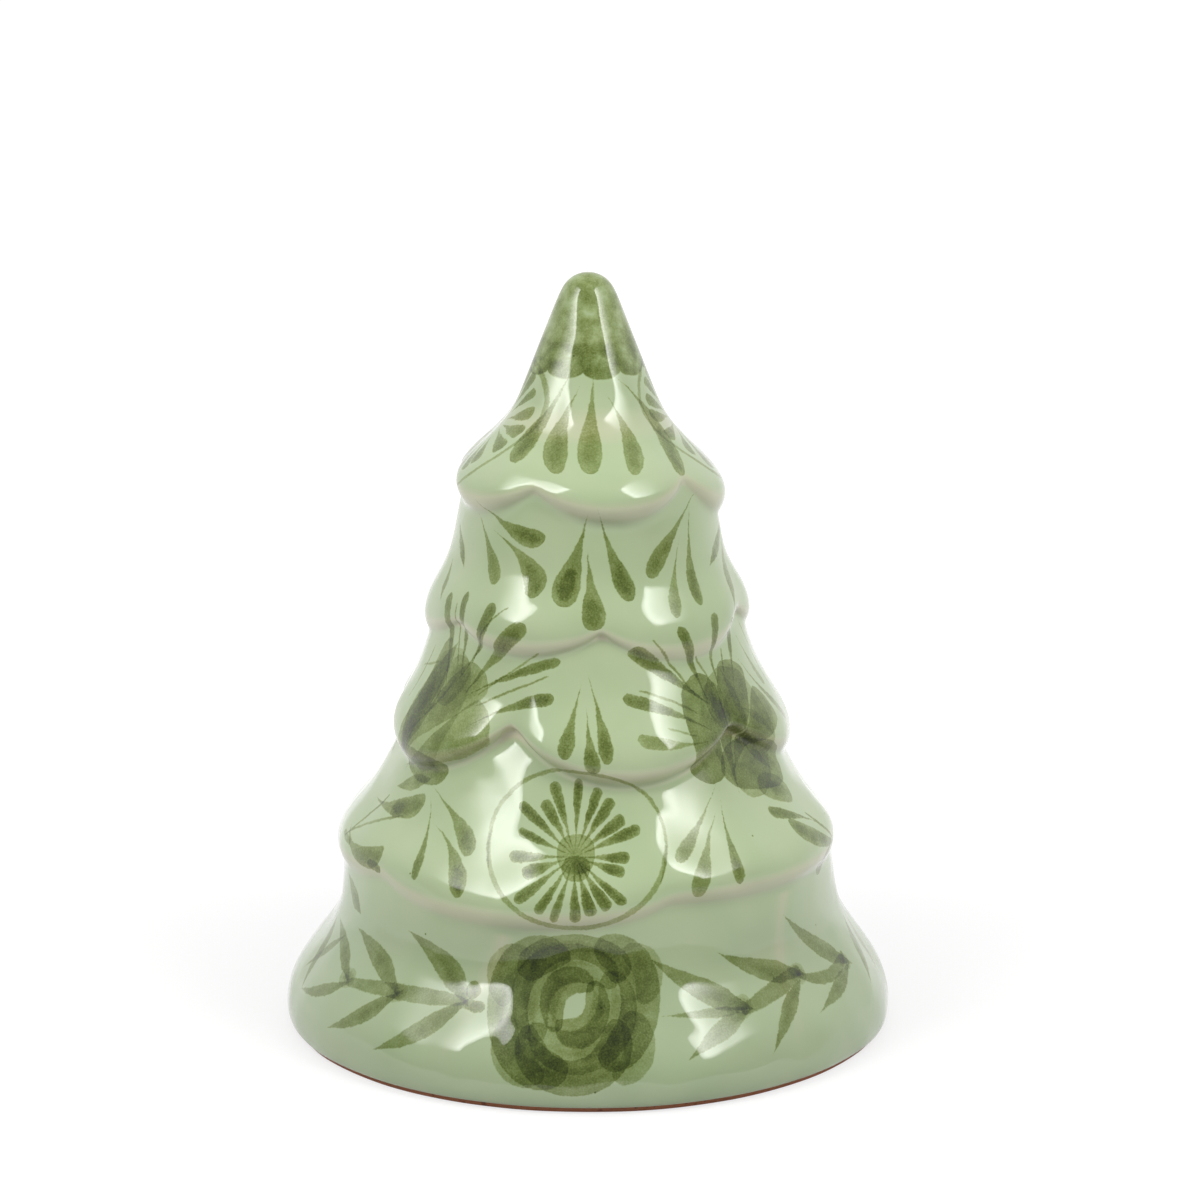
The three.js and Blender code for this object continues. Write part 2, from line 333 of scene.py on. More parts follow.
def tiered_surface_tree():
    tree = bpy.data.node_groups.new("tiered surface", "GeometryNodeTree")
    tree.interface.new_socket("Geometry", in_out="INPUT", socket_type="NodeSocketGeometry")
    for name, (kind, default) in INPUTS.items():
        socket = tree.interface.new_socket(name, in_out="INPUT", socket_type=kind)
        if default is not None:
            socket.default_value = default
    tree.interface.new_socket("Geometry", in_out="OUTPUT", socket_type="NodeSocketGeometry")
    nodes = tree.nodes
    given = add_node(nodes, "NodeGroupInput").outputs
    value = {name: Flow(nodes, given[name]) for name in INPUTS}
    plan = Plan(nodes, given["Geometry"])

    # The grid: its columns go round the tree and its rows go down it, and back up inside a coat
    tier_rows = value["Sheet rows"] + value["Roll rows"]
    down_rows = value["Dome rows"] + tier_rows * len(TIERS) + 1.0
    all_rows = down_rows * (value["Coat"] + 1.0)
    grid = add_node(nodes, "GeometryNodeMeshGrid", {
        "Vertices X": value["Columns"] + 1.0, "Vertices Y": all_rows})
    index = Flow(nodes, add_node(nodes, "GeometryNodeInputIndex").outputs[0])
    column = ((index + 0.5) / all_rows).math("FLOOR")
    row = index - column * all_rows
    turn = column / value["Columns"]
    inside = row.math("GREATER_THAN", down_rows - 0.5)
    step = row.towards(down_rows * 2.0 - 1.0 - row, inside)

    # Which tier a row belongs to, and how far down its sheet and round its lip it lies
    on_dome = step.math("LESS_THAN", value["Dome rows"] + 0.5)
    beyond = (step - value["Dome rows"] - 1.0).math("MAXIMUM", 0.0)
    tier = ((beyond + 0.5) / tier_rows).math("FLOOR")
    tier_step = beyond - tier * tier_rows + 1.0
    share = (tier_step / value["Sheet rows"]).math("MINIMUM", 1.0)
    curl = ((tier_step - value["Sheet rows"]) / value["Roll rows"]).math("MAXIMUM", 0.0)
    on_crown = tier.math("LESS_THAN", 0.5)
    on_skirt = plan.on_skirt(tier)

    # The sheet, from the crease above to its own lip
    here = plan.crossing(tier, turn)
    above = plan.crossing(tier - 1.0, turn)
    edge = plan.edge(tier, here)
    dent = plan.edge(tier - 1.0, above)["dent"] * (1.0 - on_crown)
    top = above["crease"].towards(CROWN_START_HEIGHT, on_crown)
    end_azimuth = here["azimuth"].towards(turn * 360.0 + RIM_START_AZIMUTH, on_skirt)
    azimuth = above["azimuth"].towards(here["azimuth"], on_crown).towards(end_azimuth, share)
    sheet_height = top.towards(here["lip"], share)
    valley = (share ** VALLEY_FADE).towards((share * math.pi).math("SINE"), on_skirt)
    sheet = (plan.sheet_radius(tier, sheet_height + here["hang"] * share)
             - here["groove"] * valley - dent * (1.0 - share) ** 2.0)

    # The roll under the lip, which on a coat stops above the floor
    bare = 1.0 - value["End height"] / TIERS[LAST]["roll"]
    last_angle = (bare * math.sin(ROLL_SWEEP)).math("ARCSINE")
    angle = curl * (on_skirt * (last_angle - ROLL_SWEEP) + ROLL_SWEEP)
    tuck = (1.0 - angle.math("COSINE")) / (1.0 - math.cos(ROLL_SWEEP))
    fall = angle.math("SINE") / math.sin(ROLL_SWEEP)
    radius = sheet + (edge["crease"] - edge["lip"]) * tuck
    height = sheet_height + (here["crease"] - here["lip"]) * fall

    # The dome at the tip, then the depth below the outside
    dome_angle = (step / value["Dome rows"]).share() * (TANGENT - math.pi / 2) + math.pi / 2
    across = dome_angle.math("COSINE")
    upward = dome_angle.math("SINE")
    depth = value["Depth"] + value["Coat thickness"] * inside
    radius = radius.towards(across * TIP_RADIUS, on_dome) - depth * ((across - 1.0) * on_dome + 1.0)
    height = height.towards(upward * TIP_RADIUS + DOME_CENTRE, on_dome) - depth * upward * on_dome

    # The hand wobble: the surface never sits outside the plan, and dips in by up to the wobble
    def turned(radius):
        turn_angle = azimuth * DEGREE
        node = add_node(nodes, "ShaderNodeCombineXYZ", {
            "X": turn_angle.math("SINE") * radius * MM,
            "Y": turn_angle.math("COSINE") * radius * -MM, "Z": height * MM})
        return node.outputs["Vector"]

    noise = add_node(nodes, "ShaderNodeTexNoise", {
        "Vector": turned(radius + depth), "Scale": (value["Wobble size"] * MM) ** -1.0,
        "Detail": 1.5})
    off_axis = (radius / TREE_HEIGHT * 5.0).share()
    dips = Flow(nodes, noise.outputs["Fac"]) * value["Wobble"] * off_axis
    position = turned(radius - dips)

    # Paler bands: under each lip, thinner glaze together with a painted reflection of the table,
    # and down each valley of the skirt a painted highlight line
    under_lip = (curl * LIP_BAND_START).share() * ((1.0 - curl) * LIP_BAND_END).share()
    valley_highlight = here["valley"] ** VALLEY_HIGHLIGHT_POWER * (1.0 - share) * on_skirt
    thin_and_sheen_band = (under_lip * (1.0 - on_skirt)).math("MAXIMUM", valley_highlight) * (1.0 - on_dome)

    # The grid takes its place, its two sides and its poles are joined, and its corners are softened
    def then(kind, mesh, inputs=None, **settings):
        node = add_node(nodes, "GeometryNode" + kind, dict(inputs or {}, Geometry=mesh), **settings)
        return node.outputs["Geometry"]

    def averaged(steps):
        return add_node(nodes, "GeometryNodeBlurAttribute", {
            "Value": add_node(nodes, "GeometryNodeInputPosition").outputs[0], "Iterations": steps,
        }, data_type="FLOAT_VECTOR").outputs["Value"]

    mesh = then("SetPosition", grid.outputs["Mesh"], {"Position": position})
    # Stores the paler bands: painted reflection with thinner glaze under the lips, painted
    # highlight lines down the skirt valleys
    mesh = then("StoreNamedAttribute", mesh, {"Name": "thin_and_sheen", "Value": thin_and_sheen_band},
                data_type="FLOAT", domain="POINT")
    mesh = then("MergeByDistance", mesh, {"Distance": WELD * MM})
    mesh = then("SetPosition", mesh, {"Position": averaged(value["Softening steps"])})

    # Where glaze pools: the surface lies below the average of its surroundings, in millimetres
    offset = vector_math(nodes, "SUBTRACT", averaged(value["Pool reach"]),
                         add_node(nodes, "GeometryNodeInputPosition").outputs[0])
    normal = add_node(nodes, "GeometryNodeInputNormal").outputs[0]
    sunk = vector_math(nodes, "DOT_PRODUCT", offset, normal, "Value")
    mesh = then("StoreNamedAttribute", mesh, {"Name": "pool", "Value": sunk / MM},
                data_type="FLOAT", domain="POINT")
    mesh = then("RealizeInstances", then("SetShadeSmooth", mesh))
    mesh = then("SetMaterial", mesh, {"Material": given["Surface"]})
    feed(add_node(nodes, "NodeGroupOutput").inputs["Geometry"], mesh)
    return tree


surface_tree = tiered_surface_tree()
print("tiered surface tree:", len(surface_tree.nodes), "nodes")


# %% Growing a piece from the plan
def grow(name, material, **sizes):
    """A plain mesh made by the tiered surface tree with these inputs"""
    piece = tier_plan(name)
    modifier = piece.modifiers.new("tiers", "NODES")
    modifier.node_group = surface_tree
    sizes["Surface"] = material
    for socket in surface_tree.interface.items_tree:
        if socket.item_type == "SOCKET" and socket.name in sizes:
            modifier[socket.identifier] = sizes[socket.name]
    shaped = piece.evaluated_get(bpy.context.evaluated_depsgraph_get())
    mesh = bpy.data.meshes.new_from_object(shaped)
    mesh.materials.clear()
    mesh.materials.append(material)
    mesh.name = name
    piece.modifiers.clear()
    piece.data = mesh
    return piece


def close_and_face_out(piece):
    """Turns the faces of a closed mesh outwards and says how big it is"""
    work = bmesh.new()
    work.from_mesh(piece.data)
    bmesh.ops.recalc_face_normals(work, faces=work.faces)
    if work.calc_volume(signed=True) < 0:
        bmesh.ops.reverse_faces(work, faces=work.faces)
    open_edges = sum(not edge.is_manifold for edge in work.edges)
    volume = work.calc_volume() / MM ** 3
    triangles = sum(len(face.verts) - 2 for face in work.faces)
    work.to_mesh(piece.data)
    work.free()
    print(f"{piece.name}: {triangles} triangles, {open_edges} open edges, {volume:.0f} cubic mm")


# %% [markdown]
# ## The painter's brush
#
# The decoration is brushed on with thin underglaze colour before the glaze. Nearly every mark is
# one press of a soft round brush: it lands as a fine tail, swells as the brush is pressed down and
# ends in a round, wet foot, where colour collects. Leaves are the same press lifted off again, and
# lines are drawn with the tip.
#
# Such marks could be an image wrapped round the figure. Here they are formulas in the material, so
# they stay sharp at any distance and cost no file. One node group stands for one press of the
# brush. It gets a place on the surface, turns it so that the stroke runs from 0 to 1, and compares
# the distance from the middle line with a curve that gives the width of the mark.

# %% How wide a mark is along the stroke, and how wide its wet core is
BRUSHES = {
    "drop": dict(
        width=[(0, 0.03), (0.18, 0.14), (0.4, 0.4), (0.62, 0.82), (0.8, 1), (0.92, 0.8), (1, -0.5)],
        core=[(0, -0.5), (0.5, -0.2), (0.6, 0.3), (0.78, 0.55), (0.9, 0.25), (0.96, -0.5)]),
    "petal": dict(
        width=[(0, 0.08), (0.2, 0.24), (0.45, 0.62), (0.75, 0.95), (0.9, 0.95), (1, -0.6)],
        core=[(0, -0.5), (0.35, -0.1), (0.5, 0.5), (0.8, 0.6), (0.92, 0.3), (0.97, -0.5)]),
    "leaf": dict(
        width=[(0, 0.3), (0.12, 0.62), (0.32, 1), (0.55, 0.82), (0.8, 0.36), (1, -0.04)],
        core=[(0, 0.1), (0.15, 0.4), (0.35, 0.4), (0.6, 0.0), (0.8, -0.5)]),
    "line": dict(
        width=[(0, -0.2), (0.04, 0.5), (0.3, 0.85), (0.7, 1), (0.96, 0.6), (1, -0.2)],
        core=[(0, -0.5), (1, -0.5)]),
    "dab": dict(
        width=[(0, -0.6), (0.06, 0.45), (0.25, 0.9), (0.6, 1), (0.9, 0.7), (1, -0.6)],
        core=[(0, -0.5), (0.3, 0.1), (0.6, 0.5), (0.85, 0.1), (1, -0.5)]),
}
EDGE = 0.3
CORE_SHARPNESS = 0.22


def new_group(name, inputs, output):
    """A shader node group with vector and number inputs and one output"""
    group = bpy.data.node_groups.new(name, "ShaderNodeTree")
    for label, default in inputs.items():
        kind = "NodeSocketFloat" if isinstance(default, float) else "NodeSocketVector"
        group.interface.new_socket(label, in_out="INPUT", socket_type=kind).default_value = default
    group.interface.new_socket(output[0], in_out="OUTPUT", socket_type=output[1])
    given = add_node(group.nodes, "NodeGroupInput").outputs
    value = {label: Flow(group.nodes, given[label]) for label in inputs}
    return group, group.nodes, value, add_node(group.nodes, "NodeGroupOutput").inputs[0]


def curve(flow, points):
    """A value sent through a smooth curve that may go below zero"""
    node = add_node(flow.nodes, "ShaderNodeFloatCurve", {"Value": flow})
    node.mapping.clip_min_y = -1
    line = node.mapping.curves[0].points
    while len(line) < len(points):
        line.new(0.5, 0.5)
    for point, place in zip(line, points):
        point.location = place
    node.mapping.update()
    return Flow(flow.nodes, node.outputs[0])


def combine(nodes, x, y):
    return Flow(nodes, add_node(nodes, "ShaderNodeCombineXYZ", {"X": x, "Y": y}).outputs[0])


def measured(nodes, place, start, *rulers):
    """How far a place lies from a start, read along each ruler"""
    away = vector_math(nodes, "SUBTRACT", place, start)
    return [vector_math(nodes, "DOT_PRODUCT", away, ruler, "Value") for ruler in rulers]


def brush_group(name, width, core):
    group, nodes, value, output = new_group("brush " + name, {
        "Place": (0.0, 0.0, 0.0), "Start": (0.0, 0.0, 0.0), "Along": (1.0, 0.0, 0.0),
        "Across": (0.0, 1.0, 0.0), "Bend": 0.0, "Edge": 1.0, "Pigment": 1.0, "Core": 0.0,
        "Shake": 0.5}, ("Load", "NodeSocketFloat"))
    step, side = measured(nodes, value["Place"], value["Start"], value["Along"], value["Across"])
    side = (side - value["Bend"] * (step * (1.0 - step))).math("ABSOLUTE")
    mark, wet = (
        (curve(step, points) - side).math("MULTIPLY_ADD", edge, value["Shake"]).share()
        for points, edge in ((width, value["Edge"]), (core, value["Edge"] * CORE_SHARPNESS)))
    feed(output, mark * (wet * value["Core"] + value["Pigment"]))
    return group


brushes = {name: brush_group(name, **shape) for name, shape in BRUSHES.items()}
print({name: len(group.nodes) for name, group in brushes.items()})

# %% [markdown]
# ## Strokes that turn
#
# A ring and the round strokes of a rose are not straight, but they are straight in polar
# coordinates: the angle says how far along the stroke a place lies, and the distance from the
# middle says how far aside. So a second group turns a place on an ellipse into a place on a stroke,
# and the brush groups draw both kinds. A third group does the same for the petals of a wheel: it
# folds the circle into as many equal slices as there are petals, and draws one petal in the slice.

# %% A place along an arc
def arc_group():
    group, nodes, value, output = new_group("along an arc", {
        "Place": (0.0, 0.0, 0.0), "Centre": (0.0, 0.0, 0.0), "Across": (1.0, 0.0, 0.0),
        "Up": (0.0, 1.0, 0.0), "From": 0.0, "Sweep": 1.0, "Half width": 0.1,
    }, ("Place", "NodeSocketVector"))
    x, y = measured(nodes, value["Place"], value["Centre"], value["Across"], value["Up"])
    angle = (y.math("ARCTAN2", x) - value["From"]).math("WRAP", 2 * math.pi, 0.0)
    distance = (x * x + y * y).math("SQRT")
    feed(output, combine(nodes, angle / value["Sweep"], (distance - 1.0) / value["Half width"]))
    return group


def wheel_group():
    group, nodes, value, output = new_group("petals of a wheel", {
        "Place": (0.0, 0.0, 0.0), "Centre": (0.0, 0.0, 0.0), "Petals": 20.0, "Hub": 4.0,
        "Length": 12.0, "Half width": 1.5, "Unevenness": 0.2,
    }, ("Place", "NodeSocketVector"))
    x, y = measured(nodes, value["Place"], value["Centre"], (1, 0, 0), (0, 1, 0))
    angle = y.math("ARCTAN2", x)
    slice_angle = value["Petals"] ** -1.0 * (2 * math.pi)
    number = (angle / slice_angle).math("ROUND")
    around = ((number + 0.5) / value["Petals"]).math("FRACT")
    chance = add_node(nodes, "ShaderNodeTexWhiteNoise", {"W": around}, noise_dimensions="1D")
    parts = add_node(nodes, "ShaderNodeSeparateColor", {"Color": chance.outputs["Color"]})
    luck = [Flow(nodes, socket) for socket in parts.outputs]
    local = angle - number * slice_angle + (luck[0] - 0.5) * slice_angle * value["Unevenness"]
    distance = (x * x + y * y).math("SQRT")
    length = value["Length"] * (1.0 - luck[1] * value["Unevenness"])
    step = (distance * local.math("COSINE") - value["Hub"]) / length
    half = value["Half width"] * (1.0 - luck[2] * value["Unevenness"])
    feed(output, combine(nodes, step, distance * local.math("SINE") / half))
    return group


arc_place = arc_group()
wheel_place = wheel_group()

# %% [markdown]
# ## The motifs
#
# Each motif has a middle, given by its azimuth and height, and is written down flat, in millimetres
# to the right and up from that middle, as it would be drawn on paper. The width of a fan, sprig or
# wheel is then a true length on the clay, because an angle round the figure times the radius there
# is a length. All are old stock motifs of country potteries: drops in fans, a daisy wheel, a round
# brushed rose, and sprigs of leaves.
#
# The strokes of a motif are sorted by the kind of mark. A stroke is where it starts and ends, its
# greatest width, how far it bows aside, how much colour it carries, and how much more its wet core
# does. The front and the back of the figure carry the same motifs, half a turn apart.

# %% Straight and bowed strokes: start x and y, end x and y, width, bow, colour, core
STROKES = {
    "crown fan": (4, 174, {"drop": [
        (-6, 1.5, -24, -19, 4.2, 1.6, 0.8, 0.5), (-4.5, -3, -11.5, -20.5, 6.4, -0.6, 0.7, 0.4),
        (0.2, 0, -1.8, -20.5, 6.2, 0, 0.7, 0.2), (5, -5, 11, -21, 5.2, 0.8, 0.7, 0.3),
        (9, -1, 26, -23, 4.8, 1.4, 0.8, 0.5),
    ]}),
    "second tier, middle fan": (2, 142, {"drop": [
        (-1.8, -0.5, -8.6, -21, 6.8, 0.4, 0.85, 1.1), (-1.2, -9.5, 0.4, -26.8, 6, 0, 0.85, 0.5),
        (2.2, -0.2, 10, -20, 4.8, -0.6, 0.95, 0.7),
    ]}),
    "second tier, left fan": (-50, 141, {"drop": [
        (0, 2, 18.5, -4.6, 4.9, -1.2, 0.85, 0.5), (-2.6, -1.5, 7, -16.5, 3.8, 0.4, 0.75, 0.3),
        (5.6, -4.6, 20.6, -17.8, 5.8, 1.6, 0.8, 0.5),
    ]}),
    "second tier, right fan": (50, 141, {"drop": [
        (1.6, 3, -15.4, -14, 4.4, -0.6, 0.85, 0.3), (0.4, -1.4, -2.8, -22.5, 3.7, -0.5, 0.85, 0.5),
        (-5.6, -9, -12, -24, 3.4, 0, 0.7, 0.2),
    ]}),
    "second tier, side": (90, 134, {"leaf": [
        (-17, -6.4, -1, 2, 3, 0, 0.85, 0.4), (-15.5, -17.5, -3, -2, 3, 0.6, 0.75, 0.2),
        (17, -7, 8, 2, 2.4, 0, 0.85, 0.4), (14.5, -16, 9, -7, 1.8, 0, 0.7, 0.2),
    ]}),
    "third tier, middle fan": (0, 98, {"drop": [
        (-2.4, 1.5, -6.4, -13.5, 3.8, 0, 0.9, 0.5), (-0.2, -4, 1.6, -17, 4, -0.2, 0.9, 0.6),
        (1, 3, 5.2, -14.5, 3.6, 0.3, 0.9, 0.5),
    ]}),
    "third tier, left flower": (-50, 90, {"petal": [
        (-4, 9, -9, 30, 2.9, 0.6, 0.9, 0.3), (1, 12, -1.6, 31.5, 2.6, 0.6, 0.9, 0.3),
        (3, 13.5, 9.5, 30.5, 3.6, -0.6, 0.9, 0.5), (6, 9, 20.5, 26.5, 5, 1, 0.9, 0.5),
        (9, 8.5, 29, 17.5, 2.9, 0.6, 0.9, 0.4), (13, 2, 30.5, 8.4, 3.4, 1, 0.9, 0.4),
        (-12, -12, 9.5, 12.5, 11.5, 1.5, 0.6, 0.3), (-11, -14, 14.5, 3, 12, -1.5, 0.6, 0.2),
    ], "line": [
        (4, 14, 14, 30, 0.5, 1.6, 0.8, 0), (-1, 13, -4.6, 28, 0.5, 0.8, 0.8, 0),
        (9, 7, 24, 19.5, 0.5, 0.3, 0.7, 0), (9.5, 4.5, 27, 13.5, 0.6, 0.3, 0.8, 0),
        (-19, 9, -9, 12, 0.5, 0, 0.6, 0), (-20, 1, -15, 15, 0.5, 0, 0.6, 0),
        (-13, -7, 0, 10, 0.8, -1.2, 0.5, 0),
    ], "dab": [
        (-6.5, 19, -15.5, -12, 7.5, 1, 0.8, 0.2), (-15.5, -11, 4.5, -13.5, 8.5, -1, 0.9, 0.4),
        (-4, 3, 2, 15, 9, 0, 0.4, 0.4), (-1, 17, -8, -15, 19, 0, 0.35, 0),
    ], "leaf": [
        (-12, -9, -3, 18.5, 10, 1.5, 0.7, 0.4),
    ]}),
    "third tier, right flower": (52, 86, {"petal": [
        (-8, 11, -13.5, 29, 3.2, -0.5, 0.9, 0.5), (-2.5, 14, -0.5, 30.5, 2.8, 0.7, 0.9, 0.4),
        (4.5, 13, 8.5, 27.5, 2.6, -0.6, 0.9, 0.4), (-8.5, 9, -26.5, 24.5, 4.2, 0, 0.95, 0.6),
        (-13, 4, -32, 12.5, 3.4, -0.8, 0.9, 0.4), (-16.5, 0.5, -33.5, 3, 3.4, 0.5, 0.6, 0.2),
        (-4, -10, 6, 17, 12.5, 1, 0.85, 0.25), (-2, -8, 17.5, 5, 12, 1, 0.8, 0.3),
    ], "line": [
        (-11, 10.5, -21.5, 26.5, 0.7, -0.6, 0.8, 0), (-13, 7, -27, 14, 0.7, -0.6, 0.7, 0),
        (-5, 14, -8.5, 20.5, 0.6, 0, 0.8, 0), (1, 14, 2.5, 20.5, 0.5, 0, 0.8, 0),
        (-16, 2, -24, 5, 0.5, 0, 0.5, 0),
    ], "dab": [
        (-8, 16.5, -12, -11.5, 14.5, -1, 1, 0.3), (-6, 13.5, -4.5, 2, 7.5, 0, 0.4, 0.7),
        (-8, -8.5, 19, -13, 12.5, 1.5, 0.85, 0.35), (3, -14, 17, -19.5, 6.5, 0.5, 0.7, 0.6),
        (-2, 16.5, 5, -17, 22, 1.5, 0.5, 0),
    ], "leaf": [
        (0.5, 14, 3, -4, 2.4, 0.8, 0.5, 0), (4, -2, 13.5, -13, 2.8, -0.6, 0.6, 0),
        (4, 5, 14, -4, 2.2, 0.8, 0.5, 0),
    ]}),
    "third tier, side": (90, 90, {"petal": [
        (-14, 15.5, -9, 3, 2, 0, 0.6, 0), (-17, 9, -8, -6.5, 2.6, 0, 0.7, 0.3),
        (-3, -3, 4, -17, 2.4, 0, 0.7, 0.3),
    ], "line": [
        (-9, 20, -4, -2, 0.7, 0.5, 0.6, 0),
    ]}),
    "fourth tier, left fan": (-40, 62, {"drop": [
        (-6.6, 4.6, -3.4, -10.5, 2.7, 0.8, 0.9, 0.4), (-5.4, 9, 10.8, -2.4, 4.2, 0.8, 0.8, 0.5),
        (-0.8, 1.2, 12.2, -12, 4.8, 1.6, 0.85, 0.9),
    ]}),
    "fourth tier, right fan": (32, 62, {"drop": [
        (3.6, 9.6, -11.6, -2.6, 2.9, 0.4, 0.8, 0.3), (2, 4.4, -8.6, -11.2, 4.4, -0.8, 0.85, 0.2),
        (6, 6.2, 4.4, -9.6, 3.4, -0.5, 0.9, 0.5),
    ]}),
    "fourth tier, left sprig": (-77, 54, {"line": [
        (-1, -1, 9, 12.5, 0.8, -1, 0.8, 0), (-1, -0.5, 21, 10, 0.7, 0.8, 0.7, 0),
        (-3, 0, 6, -1, 1.6, 0, 0.7, 0),
    ], "leaf": [
        (22, 19.5, 10, 15, 4, 0, 0.7, 0.2), (14, -17, 2, -10, 4.6, 0, 0.8, 0.4),
    ], "petal": [
        (6, 10, 25.5, 14, 6, -1, 0.8, 0.5), (2, 1, 24, 0.5, 6, -2.6, 0.8, 0.4),
    ], "dab": [
        (14, 10.5, 20, 10.5, 3.6, 0, 0.2, 0.6), (18, -2.4, 24.5, -3.2, 2.4, 0, 0.9, 0.6),
    ]}),
    "fourth tier, right sprig": (80, 52, {"line": [
        (2, -3, -12, 10, 1, 1, 0.8, 0),
    ], "petal": [
        (-12, 8, -26, 13.5, 3, -0.5, 0.9, 0.5), (-1, -0.5, -23, 9.5, 5.6, 1.6, 0.8, 0.4),
        (-6, 2, -15.5, -5.5, 4, 0, 0.8, 0.5),
    ]}),
    "skirt, left sprig": (-43, 24, {"line": [
        (-20, -2.7, 21, 0.2, 3.4, 0.6, 0.75, 0),
    ], "leaf": [
        (-20, -1.6, -40, 7, 3.8, -1, 0.8, 0.3), (-20, -3.4, -43, -10.5, 3, 1, 0.8, 0.2),
        (-1.2, 0, -24.5, 9, 5, -1.2, 0.8, 0.3), (0, -1.6, -20.5, -13.8, 4.2, 1.2, 0.8, 0.3),
        (20, 1, -2, 13.8, 5.8, -1.4, 0.8, 0.3), (20, -0.4, -1, -14.5, 5, 1.4, 0.8, 0.3),
    ], "dab": [
        (-23.5, -2.4, -16.5, -1.4, 4.4, 0, 0.3, 0.6), (-3, -2.4, 3.2, 0.2, 4, 0, 0.3, 0.6),
        (19.8, 4.6, 23, 1.4, 3.4, 0, 0.9, 0.5), (20, 0, 26.6, -0.8, 2.4, 0, 0.9, 0.4),
    ]}),
    "skirt, right sprig": (43, 24, {"line": [
        (-14, -3, 11, 2, 3.8, 0, 0.75, 0), (9, 1, 33, 0.5, 3, -2.6, 0.8, 0),
    ], "leaf": [
        (-12, -2, -33.5, 12, 6.2, 1, 0.8, 0.3), (-13, -2.4, -34.5, -1.4, 2.2, 0, 0.7, 0.2),
        (-13, -3.4, -33.5, -11.5, 4, -0.8, 0.7, 0.2), (9.6, 1.4, -15, 11.2, 5.2, 1.2, 0.8, 0.3),
        (8, -0.8, -9, -13.5, 3.8, -0.8, 0.8, 0.3), (33, -1.4, 9, 16, 4.6, 1.4, 0.8, 0.3),
        (31.6, -2.6, 11.5, -8, 3.4, 0, 0.8, 0.3),
    ], "dab": [
        (-18, -3, -9.5, -1, 5, 0, 0.3, 0.6), (6.5, 1.2, 12.5, 1.2, 4.6, 0, 0.3, 0.6),
        (29, -1, 34.5, -1.6, 3.6, 0, 0.3, 0.6),
    ]}),
    "skirt, side": (90, 28, {"leaf": [
        (-9, 0, -22, -13, 3.4, 0.5, 0.8, 0.3), (-5, -1, -11, -14, 2.6, 0, 0.7, 0.2),
        (12, 1, 22, -15, 3.6, 0.5, 0.8, 0.3), (24, 0, 14, -11, 3, 0, 0.7, 0.2),
    ]}),
    "daisy wheel, hub": (-3, 61, {"dab": [
        (-5, 1, 5, 0.5, 8.6, 0, 0.6, 0.1), (-3.6, -2.2, 3.8, -2.4, 5.4, 0, 0.7, 0.4),
    ]}),
}

# %% Round strokes: kind, centre, radii, from angle, sweep, width, colour, core
ARCS = {
    "crown wheel": (97, 162, [
        ("line", (0, -0.5), (16.2, 16.2), 100, 190, 1.2, 0.6, 0.0),
        ("line", (0, -0.5), (16.2, 16.2), 280, 190, 1.2, 0.6, 0.0),
    ]),
    "daisy wheel": (-3, 61, [
        ("line", (0, 1.0), (23.2, 19.4), -20, 215, 1.1, 0.65, 0.0),
        ("line", (0, 1.0), (23.0, 17.4), 165, 200, 1.7, 0.6, 0.0),
    ]),
    "rose": (-3, 24.5, [
        ("dab", (-6, 0), (11, 13), 60, 240, 12.5, 0.75, 0.3),
        ("dab", (7, 2), (10, 12), -95, 200, 12.0, 0.7, 0.3),
        ("dab", (0, -6), (11, 9), 160, 230, 10.5, 0.75, 0.4),
        ("dab", (0, 8), (11, 7), -20, 220, 10.0, 0.75, 0.4),
        ("dab", (-11, -8), (6, 6), 120, 190, 8.0, 0.5, 0.1),
        ("dab", (11, -8), (6, 6), -100, 180, 8.0, 0.5, 0.1),
        ("dab", (-13, 6), (6, 6), 70, 170, 7.5, 0.45, 0.1),
        ("dab", (13, 7), (6, 6), -60, 160, 7.5, 0.45, 0.1),
        ("dab", (0, 1), (11, 10), 20, 210, 11.0, 0.6, 0.4),
        ("dab", (0, 1), (11, 10), 200, 210, 11.0, 0.6, 0.3),
        ("dab", (0, 1), (5.4, 5.8), 30, 210, 7.0, 0.8, 0.5),
        ("dab", (0.6, 1), (5.4, 5.8), 210, 210, 7.0, 0.75, 0.4),
    ]),
}

# %% Daisy petals: centre, petals, hub, length, width, unevenness, colour, core
WHEELS = {
    "crown wheel": (97, 162, (0, -0.5), 17, 5.0, 10.0, 3.6, 0.25, 0.75, 0.3),
    "daisy wheel": (-3, 61, (-0.3, 0.3), 20, 3.4, 15.2, 3.4, 0.35, 0.75, 0.7),
}

# %% [markdown]
# ## Colour through a glassy layer
#
# Underglaze colour and glaze both act as filters. Light goes down through them, is thrown back by
# the clay, and comes up again, and each further layer lets the same share of it pass. So the colour
# is that of the bare slip times one power for the glaze and one for the pigment. Where strokes
# overlap, their loads are simply added, and the crossing comes out darker, as it does on the pot.
# The thickness of the glaze follows the form: it runs off the lips and gathers in the hollows.
# Under the lips and down the skirt valleys the glaze is also made paler as painted reflection and
# painted highlight.
# The skirt is also painted darker towards the foot. This is painted shade, not a layer of the
# glaze.

# %% The colours of the layers, as linear shares of light
SLIP = (0.672, 0.640, 0.455)
GLAZE_PASSES = (0.700, 0.900, 0.740)
PIGMENT_PASSES = (0.368, 0.400, 0.165)
# Painted shade: how much darker the skirt is made towards the foot, not a layer of the glaze
SKIRT_PAINTED_SHADE = (0.84, 0.845, 0.86)

